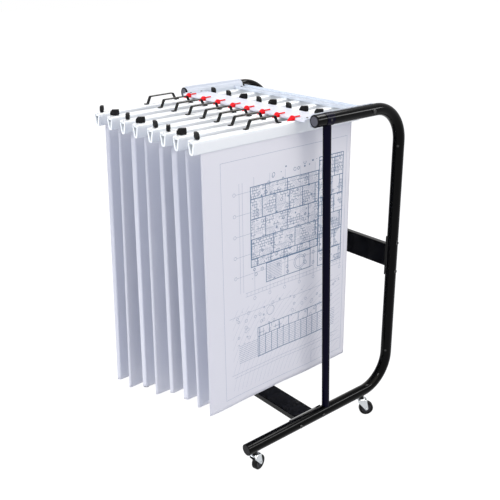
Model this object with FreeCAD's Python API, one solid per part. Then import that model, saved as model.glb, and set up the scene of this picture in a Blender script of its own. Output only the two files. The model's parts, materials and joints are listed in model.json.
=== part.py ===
import FreeCAD, Part
import math
import os
from FreeCAD import Vector, Rotation, Placement

# Plan hanging rack on castors: two C-shaped side frames of round tube, two crossbars, two white
# rails between the arms, and eight spring-hooked clamps, each holding a sheet that hangs free.
# Millimetres. +X to the right seen from the front, +Y to the rear, +Z up, floor at Z = 0.

# Side frames
tube_diameter = 38.0
tube_wall = 1.5
frame_spacing = 644.0          # between the axes of the two side frames
leg_height = 95.0              # axis of the base legs above the floor
arm_height = 1091.0            # axis of the arms above the floor
bend_radius = 116.0            # centre line of both bends
leg_length = 647.0             # front end of a leg to the axis of the upright
arm_length = 378.4             # front end of an arm to the axis of the upright
tube_joint_offset = 24.0       # straight stub between a bend and the joint with the upright
spigot_length = 22.0           # swaged end of the upright inside the bent tubes
spigot_gap = 0.1
cap_stand_out = 1.5            # domed end plug, proud of the tube end
cap_insert = 14.0
cap_edge = 1.0

# Struts and crossbars
strut_diameter = 25.4
strut_wall = 1.2
strut_set_back = 50.8          # top of the strut behind the front end of the arm
strut_foot_behind = 28.0       # foot of the strut behind its top
collar_wall = 1.2              # half ring round the outer side of the arm
collar_length = 30.0
collar_gap = 0.1
bar_depth = 80.0
bar_thickness = 20.0
bar_wall = 1.5
bar_corner = 3.0
middle_bar_height = 577.0      # centre of the middle crossbar above the floor
lower_bar_from_upright = 379.5  # centre of the lower crossbar ahead of the upright axis
shoe_wall = 3.5
shoe_length = 136.0
shoe_strut_gap = 0.5           # between the upper edge of a shoe and a strut
shoe_gap = 0.15

# Fasteners
bolt_diameter = 8.0
bolt_head_diameter = 13.0
bolt_head_height = 3.5
bolt_clearance = 0.2           # on the diameter of a bolt hole
shoe_bolt_spacing = 103.0
joint_screw_diameter = 5.0
joint_screw_head = 8.0
joint_screw_head_height = 1.6
joint_screw_angle = 35.0       # from straight ahead towards the outside
rail_screw_diameter = 4.0
rail_screw_head = 7.0
rail_screw_head_height = 1.5

# White rails
cover_gap = 0.15               # between an arm and the cover wrapped round its inner half
cover_wall = 2.5
cover_drop = 21.0              # bottom edge below the arm axis
cover_set_back = 2.0           # front edge behind the front end of the arm
cover_rear = 134.0             # rear edge ahead of the upright axis
cover_corner = 6.0
cover_skin = 0.8               # left between the arm bolt and the inner face of the cover
cover_collar_gap = 0.5         # between the edges of a cover and a strut collar
rail_end_gap = 0.2             # between a rail and the covers
tab_length = 25.0
tab_wall = 2.0
tab_margin = 8.0
front_rail_overhang = 18.6     # front edge ahead of the front end of the arm
front_rail_depth = 90.0
rail_top_rise = 3.0            # top of the front rail above the arm axis
rail_height = 6.5
rail_wall = 1.6
rail_edge = 1.2
rear_rail_front = 175.0        # front lip ahead of the upright axis
rear_rail_depth = 50.0
rear_rail_height = 8.0
arm_bolt_from_upright = 145.0

# Clamps
clamp_gap = 0.4                # clamp top below the underside of the rails
clamp_width = 26.0
clamp_height = 41.0
clamp_ahead = 376.0            # hook to front end
clamp_behind = 277.0           # hook to rear end
jaw_wall = 5.4
lip_thickness = 7.5            # half-width of the bottom, where the lips meet
lip_height = 5.0
lip_corner = 6.0
shoulder_height = 30.0         # where the tapered sides turn upright
top_wall = 9.5
hollow_foot = 1.4              # half-width of the hollow just above the lips
clamp_corner = 4.5
clamp_top_groove = 1.0
clamp_top_groove_width = 5.0
hinge_bead_radius = 2.7
hinge_inset = 5.55             # axis of the bead from the left side of the clamp
hinge_gap = 0.12
hinge_split = 1.0
hook_set_back = 5.7            # pivot of the clamps behind the front edge of the rail
first_clamp_margin = 37.15     # left end of the rails to the first clamp
last_clamp_margin = 48.15      # last clamp to the right end of the rails
# (distance from the first clamp, swing to the left at the rear end) of each clamp; the distances
# stretch with what the two margins leave of the rails
clamp_row = [(0.0, 3.6), (83.0, 2.8), (161.0, 2.4), (239.0, 1.2),
             (308.0, 2.6), (382.0, 1.2), (449.0, 0.6), (515.0, 1.1)]

# Parts of a clamp
hook_ahead = 28.5
hook_behind = 21.5
hook_head_width = 19.0
hook_tip_width = 5.0
hook_tail_width = 7.0
hook_tail_height = 3.5
hook_tip_height = 2.0
hook_crown_length = 5.0
hook_slope = 6.0               # from the crown down to the tail, behind the lip
hook_neck = 4.0                # from the widest place back to the tail, seen from above
hook_head_rise = 7.0           # crown of the head above the rail
hook_rail_gap = 0.3
hook_lip_gap = 1.2
handle_ahead = 192.5           # front tip of the handle ahead of the hook
handle_span = 135.7
handle_rise = 25.0
handle_foot = 12.0
handle_lean = 12.0
handle_width = 12.0
handle_thickness = 3.0
handle_bend = 5.0
knob_from_front = 20.2         # front knob behind the front end of the clamp
knob_behind = 101.0
knob_width = 28.0
knob_thickness = 11.5
knob_height = 18.3
knob_cut = 7.0                 # slanted corner over the front end of the wing
knob_base_diameter = 12.0
knob_base_height = 2.0
knob_gap = 0.3
knob_edge = 1.5
stem_diameter = 8.0
stem_clearance = 0.08          # running fit, radial
cam_long = 11.0
cam_short = 8.5
cam_height = 6.0
cam_gap = 1.0
# turn of each wing about the vertical, seen from above: front knobs, then rear knobs
front_knob_turns = [50.0, -32.0, 50.0, -35.0, 67.0, 230.0, -30.0, 67.0]
rear_knob_turns = [68.0, 68.0, -35.0, 68.0, -30.0, 68.0, -35.0, -40.0]

# Sheets
sheet_width = 594.0
sheet_ahead = 345.5            # front edge ahead of the hook
sheet_thickness = 0.5
sheet_grip = 20.0              # height hidden inside the jaws, at the middle of the sheet
sheet_kink_drop = 1.0          # below the lips, where a sheet starts to lean
# (length, lean of the bottom edge to the right, turn of the sheet in its own plane) of each
sheet_shapes = [(950.0, -18.5, 1.5), (944.0, -18.0, 1.45), (906.0, -7.0, 1.15), (897.0, -3.5, 1.05),
                (858.0, -5.0, 0.55), (853.0, -1.0, 0.0), (843.0, 6.5, -0.1), (838.0, 3.5, 0.15)]

# Castors
wheel_diameter = 50.0
wheel_width = 19.0
wheel_edge = 4.0
wheel_bore_clearance = 0.08    # radial
hub_diameter = 20.0
hub_recess = 2.0
axle_diameter = 6.0
castor_trail = 18.0
fork_gap = 1.0                 # wheel side to fork cheek
fork_wall = 2.0
fork_top = 62.0                # top of the fork crown above the floor
fork_crown_height = 3.0
fork_race_diameter = 26.0
fork_race_height = 3.0
fork_axle_boss = 13.0
axle_head = 1.5                # rise and length of the axle heads
swivel_pin_diameter = 9.0
swivel_pin_clearance = 0.08    # radial
swivel_pin_length = 22.0
swivel_gap = 0.3
socket_diameter = 16.0
socket_spigot_diameter = 13.0
socket_spigot_gap = 0.1
front_castor_from_upright = 613.0
rear_castor_from_upright = 119.0
# turn of each castor about the vertical, 0 with the wheel trailing to the rear
castor_turns = {"left_front": 50.0, "right_front": 15.0, "left_rear": 30.0, "right_rear": -35.0}

# Places worked out from the above
tube_radius = tube_diameter / 2
frame_x = frame_spacing / 2
strut_from_upright = arm_length - strut_set_back
cover_front = arm_length - cover_set_back
front_rail_front = arm_length + front_rail_overhang
hook_from_upright = front_rail_front - hook_set_back
knob_ahead = clamp_ahead - knob_from_front
overall_depth = hook_from_upright + clamp_ahead + tube_radius
upright_y = overall_depth / 2 - tube_radius
hook_y = upright_y - hook_from_upright
leg_front_y = upright_y - leg_length
arm_front_y = upright_y - arm_length
strut_y = upright_y - strut_from_upright
strut_foot_y = strut_y + strut_foot_behind
lower_bar_y = upright_y - lower_bar_from_upright
arm_bolt_y = upright_y - arm_bolt_from_upright
top_joint_z = arm_height - bend_radius - tube_joint_offset
base_joint_z = leg_height + bend_radius + tube_joint_offset

# a shoe reaches up the tube as far as the strut leaves room
shoe_half_angle = math.degrees(math.acos((strut_diameter / 2 + shoe_strut_gap) / (tube_radius + shoe_gap)))
collar_radius = tube_radius + collar_gap + collar_wall
cover_radius = tube_radius + cover_gap + cover_wall
cover_inner_x = frame_x - cover_radius
cover_front_y = upright_y - cover_front
cover_length = cover_front - cover_rear
rail_half = cover_inner_x - rail_end_gap

rail_top = arm_height + rail_top_rise
rail_under = rail_top - rail_height
front_rail_y = upright_y - front_rail_front
rear_rail_y = upright_y - rear_rail_front
clamp_top = rail_under - clamp_gap
clamp_bottom = clamp_top - clamp_height

os.makedirs("parts", exist_ok=True)
across = Vector(1, 0, 0)
back = Vector(0, 1, 0)
up = Vector(0, 0, 1)
sides = {"left": -1.0, "right": 1.0}
pick = 0.01                    # how near an edge lies to the place it is picked by


# Small helpers
def box(x0, x1, y0, y1, z0, z1):
    """Block between two corners."""
    return Part.makeBox(x1 - x0, y1 - y0, z1 - z0, Vector(x0, y0, z0))


def rod(radius, length, start, direction):
    """Round bar from start along direction."""
    return Part.makeCylinder(radius, length, start, direction)


def prism(points, along):
    """Closed outline of points pushed along a vector."""
    return Part.Face(Part.makePolygon(points + [points[0]])).extrude(along)


def join(shapes):
    """One solid from overlapping shapes."""
    whole = shapes[0]
    for shape in shapes[1:]:
        whole = whole.fuse(shape)
    return whole.removeSplitter()


def rounded(shape, radius, wanted):
    """Round the edges that the test function picks."""
    return shape.makeFillet(radius, [edge for edge in shape.Edges if wanted(edge)])


def is_along(direction):
    """Test for straight edges in one direction."""
    def test(edge):
        if len(edge.Vertexes) != 2:
            return False
        run = edge.Vertexes[1].Point.sub(edge.Vertexes[0].Point)
        return run.Length > 0 and run.cross(direction).Length < 1e-6 * run.Length
    return test


def save(node, solids):
    """Write one node; a group keeps its solids apart."""
    shape = solids[0] if len(solids) == 1 else Part.makeCompound(solids)
    shape.exportStep("parts/" + node + ".step")
    print(node, len(shape.Solids), round(shape.Volume), shape.isValid())


def moved(shape, place):
    """Copy of a shape at a placement."""
    copy = shape.copy()
    copy.Placement = place.multiply(copy.Placement)
    return copy


# Bent tubes
def bent_tube(x, end_y, axis_z, joint_z):
    """Round tube: horizontal run, quarter bend and short upright stub."""
    turn = 1.0 if joint_z > axis_z else -1.0
    start = Vector(x, end_y, axis_z)
    bend_start = Vector(x, upright_y - bend_radius, axis_z)
    bend_centre = bend_start + up * (turn * bend_radius)
    stub_start = Vector(x, upright_y, bend_centre.z)

    def section(centre, normal):
        outer, inner = (Part.Face(Part.Wire(Part.makeCircle(radius, centre, normal)))
                        for radius in (tube_radius, tube_radius - tube_wall))
        return outer.cut(inner).Faces[0]

    return join([section(start, back).extrude(bend_start - start),
                 section(bend_start, back).revolve(bend_centre, across * turn, 90),
                 section(stub_start, up).extrude(up * (joint_z - bend_centre.z))])


def bolt_hole(x, y, z, diameter=bolt_diameter):
    """Hole right across a side frame, along X."""
    length = 4 * tube_diameter
    return rod((diameter + bolt_clearance) / 2, length, Vector(x - length / 2, y, z), across)


def socket_hole(x, y):
    """Hole up into the underside of a leg for a castor socket."""
    return rod(socket_spigot_diameter / 2 + socket_spigot_gap, leg_height, Vector(x, y, 0), up)


def shoe_bolt_points(middle_y, middle_z, lies_flat):
    """The two bolt places of a crossbar shoe, as (y, z)."""
    half = shoe_bolt_spacing / 2
    if lies_flat:
        return [(middle_y - half, middle_z), (middle_y + half, middle_z)]
    return [(middle_y, middle_z - half), (middle_y, middle_z + half)]


middle_bolts = shoe_bolt_points(upright_y, middle_bar_height, False)
lower_bolts = shoe_bolt_points(lower_bar_y, leg_height, True)
castor_ys = {"front": upright_y - front_castor_from_upright,
             "rear": upright_y - rear_castor_from_upright}
joint_screw_heights = (base_joint_z - spigot_length / 2, top_joint_z + spigot_length / 2)


def joint_screw(side, z):
    """Screw through the tube joint, its head on the front outer side of the tube."""
    angle = math.radians(joint_screw_angle)
    out = Vector(side * math.sin(angle), -math.cos(angle), 0)
    reach = 2 * tube_wall + spigot_gap
    tip = Vector(side * frame_x, upright_y, z) + out * (tube_radius - reach)
    shank = rod(joint_screw_diameter / 2, reach, tip, out)
    head = rod(joint_screw_head / 2, joint_screw_head_height, tip + out * reach, out)
    return join([shank, head])


def upper_tube(side):
    """Arm and top bend, with its bolt holes."""
    x = side * frame_x
    tube = bent_tube(x, arm_front_y, arm_height, top_joint_z)
    for y in (arm_bolt_y, strut_y):
        tube = tube.cut(bolt_hole(x, y, arm_height))
    return tube.cut(joint_screw(side, max(joint_screw_heights)))


def base_tube(side):
    """Base leg and lower bend, with its bolt and castor holes."""
    x = side * frame_x
    tube = bent_tube(x, leg_front_y, leg_height, base_joint_z)
    for y, z in lower_bolts:
        tube = tube.cut(bolt_hole(x, y, z))
    for y in castor_ys.values():
        tube = tube.cut(socket_hole(x, y))
    return tube.cut(joint_screw(side, min(joint_screw_heights)))


def upright(side):
    """Straight tube with a narrower spigot at each end."""
    x = side * frame_x
    spigot_radius = tube_radius - tube_wall - spigot_gap
    low, high = base_joint_z - spigot_length, top_joint_z + spigot_length
    body = rod(tube_radius, top_joint_z - base_joint_z, Vector(x, upright_y, base_joint_z), up)
    spigots = rod(spigot_radius, high - low, Vector(x, upright_y, low), up)
    bore = rod(spigot_radius - tube_wall, high - low, Vector(x, upright_y, low), up)
    tube = join([body, spigots]).cut(bore)
    for y, z in middle_bolts:
        tube = tube.cut(bolt_hole(x, y, z))
    for z in joint_screw_heights:
        tube = tube.cut(joint_screw(side, z))
    return tube


def tube_end_cap(side, y, z):
    """Domed plug in the front end of an arm or a leg."""
    x = side * frame_x
    inner = tube_radius - tube_wall
    face = rod(inner - spigot_gap, cap_stand_out, Vector(x, y - cap_stand_out, z), back)
    front = [edge for edge in face.Edges if abs(edge.CenterOfMass.y - (y - cap_stand_out)) < pick]
    face = face.makeFillet(cap_edge, front)
    return join([face, rod(inner - spigot_gap, cap_insert, Vector(x, y, z), back)])


# Crossbars
def shoe(side, centre, axis):
    """Part of a ring that cups the inner side of a side-frame tube."""
    radius = tube_radius + shoe_gap
    start = centre - axis * (shoe_length / 2)
    ring = rod(radius + shoe_wall, shoe_length, start, axis)
    reach = 3 * tube_radius
    rise = reach * math.tan(math.radians(shoe_half_angle))
    other = axis.cross(across)
    inward = across * (-side * reach)
    wedge = prism([start, start + inward + other * rise, start + inward - other * rise],
                  axis * shoe_length)
    return ring.common(wedge)


def crossbar(centre, axis, lies_flat, bolts):
    """Rectangular tube between the side frames with a shoe welded on at each end."""
    half_y = (bar_depth if lies_flat else bar_thickness) / 2
    half_z = (bar_thickness if lies_flat else bar_depth) / 2
    outer = box(-frame_x, frame_x, centre.y - half_y, centre.y + half_y,
                centre.z - half_z, centre.z + half_z)
    outer = rounded(outer, bar_corner, is_along(across))
    inner = box(-frame_x, frame_x, centre.y - half_y + bar_wall, centre.y + half_y - bar_wall,
                centre.z - half_z + bar_wall, centre.z + half_z - bar_wall)
    bar = outer.cut(inner)
    shoes = []
    for side in sides.values():
        middle = Vector(side * frame_x, centre.y, centre.z)
        clear = rod(tube_radius + shoe_gap, 2 * shoe_length, middle - axis * shoe_length, axis)
        bar = bar.cut(clear)
        shoes.append(shoe(side, middle, axis).cut(clear))
    whole = join([bar] + shoes)
    for side in sides.values():
        for y, z in bolts:
            whole = whole.cut(bolt_hole(side * frame_x, y, z))
    return whole


# Struts
def strut(side):
    """Round tube from leg to arm, leaning forward, with a half collar round the arm on its top."""
    x = side * frame_x
    foot = Vector(x, strut_foot_y, leg_height)
    lean = Vector(x, strut_y, arm_height) - foot
    post = rod(strut_diameter / 2, lean.Length, foot, lean)
    start = Vector(x, strut_y - collar_length / 2, arm_height)
    collar = rod(collar_radius, collar_length, start, back)
    edge = frame_x + cover_collar_gap / 2
    x0, x1 = sorted([side * edge, side * (edge + 2 * collar_radius)])
    outside = box(x0, x1, start.y, start.y + collar_length,
                  arm_height - 2 * collar_radius, arm_height + 2 * collar_radius)
    whole = join([post, collar.common(outside)])
    whole = whole.cut(rod(strut_diameter / 2 - strut_wall, lean.Length, foot, lean))
    for y, z in ((strut_y, arm_height), (strut_foot_y, leg_height)):
        tube_room = rod(tube_radius + collar_gap, 2 * tube_diameter,
                        Vector(x, y - tube_diameter, z), back)
        whole = whole.cut(tube_room)
    return whole.cut(bolt_hole(x, strut_y, arm_height)).Solids[0]


# White rails
def side_cover(side):
    """Cover round the inner half of an arm, with a tab over the front rail and one in the rear rail."""
    x = side * frame_x
    start = Vector(x, cover_front_y, arm_height)
    tube_room = rod(tube_radius + cover_gap, cover_length, start, back)
    shell = rod(cover_radius, cover_length, start, back).cut(tube_room)
    edge = frame_x - cover_collar_gap / 2
    x0, x1 = sorted([side * cover_inner_x, side * edge])
    rear_y = cover_front_y + cover_length
    shell = shell.common(box(x0, x1, cover_front_y, rear_y, arm_height, arm_height + cover_radius))
    x0, x1 = sorted([side * cover_inner_x, side * (cover_inner_x + cover_wall)])
    pad = box(x0, x1, cover_front_y, rear_y, arm_height - cover_drop, arm_height)
    pad = rounded(pad, cover_corner, lambda edge: is_along(across)(edge)
                  and edge.CenterOfMass.z < arm_height - cover_drop / 2)
    parts = [shell, pad]
    x0, x1 = sorted([side * (cover_inner_x + cover_wall), side * (cover_inner_x - tab_length)])
    for y0, depth, z0 in tab_places:
        tab = box(x0, x1, y0 + tab_margin, y0 + depth - tab_margin, z0, z0 + tab_wall)
        parts.append(tab.cut(tube_room))
    cover = join(parts)
    cover = cover.cut(bolt_hole(x, strut_y, arm_height))
    depth = frame_x - cover_inner_x - cover_skin
    blind = rod((bolt_diameter + bolt_clearance) / 2, depth, Vector(x, arm_bolt_y, arm_height), across * -side)
    cover = cover.cut(blind)
    for screw_x, y, z in tab_screw_points(side):
        cover = cover.cut(tab_screw_hole(screw_x, y, z))
    return cover


tab_places = [(front_rail_y, front_rail_depth, rail_top),
              (rear_rail_y, rear_rail_depth, rail_under + rail_wall)]


def tab_screw_points(side):
    """Seats of the screws that hold the rails to the tabs of one cover."""
    x = side * (cover_inner_x - tab_length / 2)
    y0, depth, z0 = tab_places[0]
    points = [(x, y0 + depth / 2 + k * depth / 4, z0 + tab_wall) for k in (-1, 1)]
    y0, depth, z0 = tab_places[1]
    return points + [(x, y0 + depth / 2, z0 + tab_wall)]


def tab_screw_hole(x, y, z):
    """Hole through a tab and the wall of a rail below it."""
    depth = tab_wall + rail_wall
    return rod((rail_screw_diameter + bolt_clearance) / 2, depth, Vector(x, y, z - depth), up)


def screw_holes(rail):
    """Cut the tab screw holes into a rail."""
    for side in sides.values():
        for point in tab_screw_points(side):
            rail = rail.cut(tab_screw_hole(*point))
    return rail


def front_rail():
    """Shallow channel, open underneath, that the hooks of the clamps grip by its front lip."""
    rear = front_rail_y + front_rail_depth
    rail = box(-rail_half, rail_half, front_rail_y, rear, rail_under, rail_top)
    rail = rounded(rail, rail_edge, lambda edge: is_along(across)(edge)
                   and abs(edge.CenterOfMass.z - rail_top) < pick)
    hollow = box(-rail_half, rail_half, front_rail_y + rail_wall, rear - rail_wall,
                 rail_under, rail_top - rail_wall)
    return screw_holes(rail.cut(hollow))


def rear_rail():
    """Shallow channel, open above, that the tails of the clamps bear up against."""
    rear = rear_rail_y + rear_rail_depth
    top = rail_under + rear_rail_height
    rail = box(-rail_half, rail_half, rear_rail_y, rear, rail_under, top)
    hollow = box(-rail_half, rail_half, rear_rail_y + rail_wall, rear - rail_wall,
                 rail_under + rail_wall, top)
    return screw_holes(rail.cut(hollow))


# Fasteners
def through_bolt(side, y, z, inner_x):
    """Button-head bolt from the outside of a side frame inwards to the given depth."""
    outer_x = frame_x + tube_radius
    reach = rod(bolt_diameter / 2, outer_x - inner_x, Vector(side * outer_x, y, z), across * -side)
    head = rod(bolt_head_diameter / 2, bolt_head_height, Vector(side * outer_x, y, z), across * side)
    crown = [edge for edge in head.Edges
             if abs(abs(edge.CenterOfMass.x) - outer_x - bolt_head_height) < pick]
    return join([reach, head.makeFillet(bolt_head_height * 0.6, crown)])


def collar_bolt(side):
    """Headless bolt through strut collar, arm and cover, flush with both."""
    outer_x = frame_x + collar_radius
    start = Vector(side * outer_x, strut_y, arm_height)
    return rod(bolt_diameter / 2, outer_x - cover_inner_x, start, across * -side)


def rail_screw(x, y, z):
    """Pan-head screw down through a tab into a rail."""
    head = rod(rail_screw_head / 2, rail_screw_head_height, Vector(x, y, z), up)
    return join([head, rod(rail_screw_diameter / 2, tab_wall + rail_wall, Vector(x, y, z), up * -1)])


def frame_bolts():
    """Every bolt and screw of the frame."""
    shoe_inner_x = frame_x - tube_radius - shoe_gap - shoe_wall
    bolts = []
    for side in sides.values():
        for y, z in middle_bolts + lower_bolts:
            bolts.append(through_bolt(side, y, z, shoe_inner_x))
        bolts.append(through_bolt(side, arm_bolt_y, arm_height, cover_inner_x + cover_skin))
        bolts.append(collar_bolt(side))
        bolts += [joint_screw(side, z) for z in joint_screw_heights]
        bolts += [rail_screw(*point) for point in tab_screw_points(side)]
    return bolts


# Clamps, in their own frame
# Own frame of a clamp: hook pivot at X = Y = 0, front end towards -Y, heights as in the rack.
def clamp_outline():
    """Half-width and height points of the tapered outline."""
    half = clamp_width / 2
    return [(lip_thickness, 0), (half, shoulder_height), (half, clamp_height)]


def clamp_prism(half_points, y0, length):
    """Symmetric outline pushed along the clamp."""
    right = [Vector(u, y0, clamp_bottom + w) for u, w in half_points]
    left = [Vector(-u, y0, clamp_bottom + w) for u, w in reversed(half_points)]
    return prism(right + left, back * length)


def clamp_rail():
    """Fixed jaw with the top wall, moving jaw hinged to it, and the hook."""
    length = clamp_ahead + clamp_behind
    y0 = -clamp_ahead
    body = clamp_prism(clamp_outline(), y0, length)
    for radius, z in ((clamp_corner, clamp_top), (lip_corner, clamp_bottom)):
        body = rounded(body, radius, lambda edge: is_along(back)(edge)
                       and abs(edge.CenterOfMass.z - z) < pick)
    half = clamp_width / 2 - jaw_wall
    hollow_points = [(hollow_foot, lip_height), (half, shoulder_height),
                     (half, clamp_height - top_wall)]
    body = body.cut(clamp_prism(hollow_points, y0, length))
    slit = box(-sheet_thickness / 2, sheet_thickness / 2, y0, y0 + length,
               clamp_bottom, clamp_bottom + lip_height)
    body = body.cut(slit)
    groove = box(-clamp_top_groove_width / 2, clamp_top_groove_width / 2, y0, y0 + length,
                 clamp_top - clamp_top_groove, clamp_top)
    groove.translate(Vector(clamp_width / 4, 0, 0))
    body = body.cut(groove)
    for y in (-knob_ahead, knob_behind):
        body = body.cut(rod(stem_diameter / 2 + stem_clearance, clamp_height - shoulder_height,
                            Vector(0, y, clamp_bottom + shoulder_height), up))
    # the moving jaw is the left wall up to a round bead that turns in the top wall
    bead_x = -clamp_width / 2 + hinge_inset
    bead_z = clamp_bottom + clamp_height - top_wall + hinge_bead_radius
    bead_start = Vector(bead_x, y0, bead_z)
    split_z = clamp_bottom + clamp_height - top_wall
    left_wall = box(-clamp_width, 0, y0, y0 + length, clamp_bottom, split_z)
    bead = rod(hinge_bead_radius, length, bead_start, back)
    neck = box(-clamp_width / 2, bead_x, y0, y0 + length, split_z - hinge_split, bead_z)
    moving = join([body.common(left_wall), bead.fuse(neck)])
    hollow = rod(hinge_bead_radius / 2, length, bead_start, back)
    room = rod(hinge_bead_radius + hinge_gap, length, bead_start, back)
    room = room.fuse(box(-clamp_width, bead_x + hinge_gap, y0, y0 + length, split_z, bead_z + hinge_gap))
    fixed = body.cut(left_wall).cut(room)
    fixed = max(fixed.Solids, key=lambda solid: solid.Volume)
    moving = max(moving.cut(hollow).Solids, key=lambda solid: solid.Volume)
    return [fixed, moving, clamp_hook()]


def clamp_hook():
    """Arrow-shaped catch on top of the clamp, its tail over the front rail."""
    lip_y = -(hook_y - front_rail_y) - hook_lip_gap
    tail_z = rail_top + hook_rail_gap
    tail_top = tail_z + hook_tail_height
    crown = rail_top + hook_head_rise
    side_view = [(-hook_ahead, clamp_top), (-hook_ahead, clamp_top + hook_tip_height),
                 (lip_y - hook_crown_length, crown), (lip_y, crown), (lip_y + hook_slope, tail_top),
                 (hook_behind, tail_top), (hook_behind, tail_z),
                 (lip_y, tail_z), (lip_y, clamp_top)]
    slab = prism([Vector(-hook_head_width, y, z) for y, z in side_view], across * (2 * hook_head_width))
    head, tip, tail = hook_head_width / 2, hook_tip_width / 2, hook_tail_width / 2
    plan = [(-tip, -hook_ahead), (tip, -hook_ahead), (head, lip_y), (tail, lip_y + hook_neck),
            (tail, hook_behind), (-tail, hook_behind), (-tail, lip_y + hook_neck), (-head, lip_y)]
    column = prism([Vector(x, y, clamp_top) for x, y in plan], up * clamp_height)
    return slab.common(column).Solids[0]


def clamp_handle():
    """Strap handle on two outward feet."""
    front, rear = -handle_ahead, -handle_ahead + handle_span
    half = handle_width / 2
    top = clamp_top + handle_rise

    def trapezoid(inset):
        lean = handle_lean
        foot = handle_foot - handle_thickness + inset
        return [(front + foot, clamp_top), (front + foot + lean, top - inset),
                (rear - foot - lean, top - inset), (rear - foot, clamp_top)]

    outer = prism([Vector(-half, y, z) for y, z in trapezoid(0)], across * handle_width)
    outer = rounded(outer, handle_bend, lambda edge: is_along(across)(edge)
                    and edge.CenterOfMass.z > top - pick)
    inner = prism([Vector(-half, y, z) for y, z in trapezoid(handle_thickness)], across * handle_width)
    strap = outer.cut(inner)
    feet = [box(-half, half, front, front + handle_foot, clamp_top, clamp_top + handle_thickness),
            box(-half, half, rear - handle_foot, rear, clamp_top, clamp_top + handle_thickness)]
    return join([strap] + feet)


def knob(place_y, turn):
    """Wing knob with its stem through the top wall and a cam between the jaws."""
    seat = clamp_top + knob_gap
    base = rod(knob_base_diameter / 2, knob_base_height, Vector(0, 0, seat), up)
    half = knob_width / 2
    top = seat + knob_height
    wing = prism([Vector(-knob_thickness / 2, y, z) for y, z in
                  ((-half, seat), (-half, top - knob_cut), (-half + knob_cut, top), (half, top), (half, seat))],
                 across * knob_thickness)
    wing = rounded(wing, knob_thickness / 3, is_along(up))
    wing = rounded(wing, knob_edge, lambda edge: abs(edge.CenterOfMass.z - seat - knob_height) < pick)
    cam_top = clamp_top - top_wall - cam_gap
    stem = rod(stem_diameter / 2, seat - cam_top + cam_height, Vector(0, 0, cam_top - cam_height), up)
    cam = Part.Face(Part.Wire(Part.Ellipse(Vector(0, 0, cam_top - cam_height), cam_long / 2,
                                           cam_short / 2).toShape())).extrude(up * cam_height)
    whole = join([base, wing, stem, cam])
    place = Placement(Vector(0, place_y, 0), Rotation(up, turn))
    return moved(whole, place)


def sheet(length, lean, turn):
    """Plane sheet, upright inside the clamp and leaning a little to one side below its lips."""
    middle = Vector(0, -sheet_ahead + sheet_width / 2, clamp_bottom + sheet_grip)
    kink_z = clamp_bottom - sheet_kink_drop
    along = Vector(0, math.cos(math.radians(turn)), -math.sin(math.radians(turn)))
    down = Vector(0, along.z, -along.y)
    halves = []
    for low_part in (False, True):
        rows = []
        for edge in (-1, 1):
            top = middle + along * (edge * sheet_width / 2)
            bottom = top + down * length
            kink = top + down * ((top.z - kink_z) / -down.z)
            drop = (kink_z - bottom.z) / (kink_z - (middle.z - length))
            rows.append((kink, bottom + across * (lean * drop)) if low_part else (top, kink))
        outline = [rows[0][0], rows[1][0], rows[1][1], rows[0][1]]
        shift = across * (sheet_thickness / 2)
        halves.append(prism([point - shift for point in outline], across * sheet_thickness))
    return join(halves)


# Castors, in their own frame
# Own frame of a castor: swivel axis at X = Y = 0, wheel trailing towards +Y, floor at Z = 0.
axle_z = wheel_diameter / 2
axle_centre = Vector(0, castor_trail, axle_z)
cheek_x = wheel_width / 2 + fork_gap


def castor_wheel():
    """Solid tyre and hub on one moulding."""
    radius = wheel_diameter / 2
    wheel = rod(radius, wheel_width, axle_centre - across * (wheel_width / 2), across)
    wheel = rounded(wheel, wheel_edge, lambda edge: abs(edge.CenterOfMass.x) > wheel_width / 2 - pick)
    for side in sides.values():
        face = axle_centre + across * (side * wheel_width / 2)
        dish = rod(radius - 2 * wheel_edge, hub_recess, face, across * -side)
        hub = rod(hub_diameter / 2, hub_recess, face, across * -side)
        wheel = wheel.cut(dish.cut(hub))
    bore = rod(axle_diameter / 2 + wheel_bore_clearance, wheel_width,
               axle_centre - across * (wheel_width / 2), across)
    return wheel.cut(bore)


def castor_fork():
    """Pressed fork with its race, swivel pin and axle."""
    under = fork_top - fork_crown_height
    outer = cheek_x + fork_wall
    half = fork_race_diameter / 2
    crown = box(-outer, outer, -half, half + castor_trail / 3, under, fork_top)
    crown = rounded(crown, fork_wall, is_along(up))
    parts = [crown]
    boss = fork_axle_boss / 2
    profile = [(-half, under), (half + castor_trail / 3, under), (castor_trail + boss, axle_z),
               (castor_trail, axle_z - boss), (castor_trail - boss, axle_z)]
    for side in sides.values():
        x = side * cheek_x
        cheek = prism([Vector(x, y, z) for y, z in profile], across * (side * fork_wall))
        parts.append(rounded(cheek, fork_wall, lambda edge: is_along(across)(edge)
                             and edge.CenterOfMass.z < under - pick))
    race_z = fork_top
    parts.append(rod(half, fork_race_height, Vector(0, 0, race_z), up))
    parts.append(rod(swivel_pin_diameter / 2, swivel_pin_length + fork_race_height, Vector(0, 0, race_z), up))
    fork = join(parts)
    axle = rod(axle_diameter / 2, 2 * outer, axle_centre - across * outer, across)
    for side in sides.values():
        end = axle_centre + across * (side * outer)
        axle = axle.fuse(rod(axle_diameter / 2 + axle_head, axle_head, end, across * side))
    return [fork.cut(axle), axle.removeSplitter()]


def castor_socket(x, y):
    """Black sleeve seated under a leg, with a spigot up inside the tube."""
    bottom = fork_top + fork_race_height + swivel_gap
    top = bottom + swivel_pin_length
    sleeve = rod(socket_diameter / 2, leg_height - bottom, Vector(x, y, bottom), up)
    sleeve = sleeve.cut(rod(tube_radius, 2 * tube_radius, Vector(x, y - tube_radius, leg_height), back))
    spigot = rod(socket_spigot_diameter / 2, top - bottom + swivel_gap, Vector(x, y, bottom), up)
    bore = rod(swivel_pin_diameter / 2 + swivel_pin_clearance, top - bottom, Vector(x, y, bottom), up)
    return join([sleeve, spigot]).cut(bore)


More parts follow.
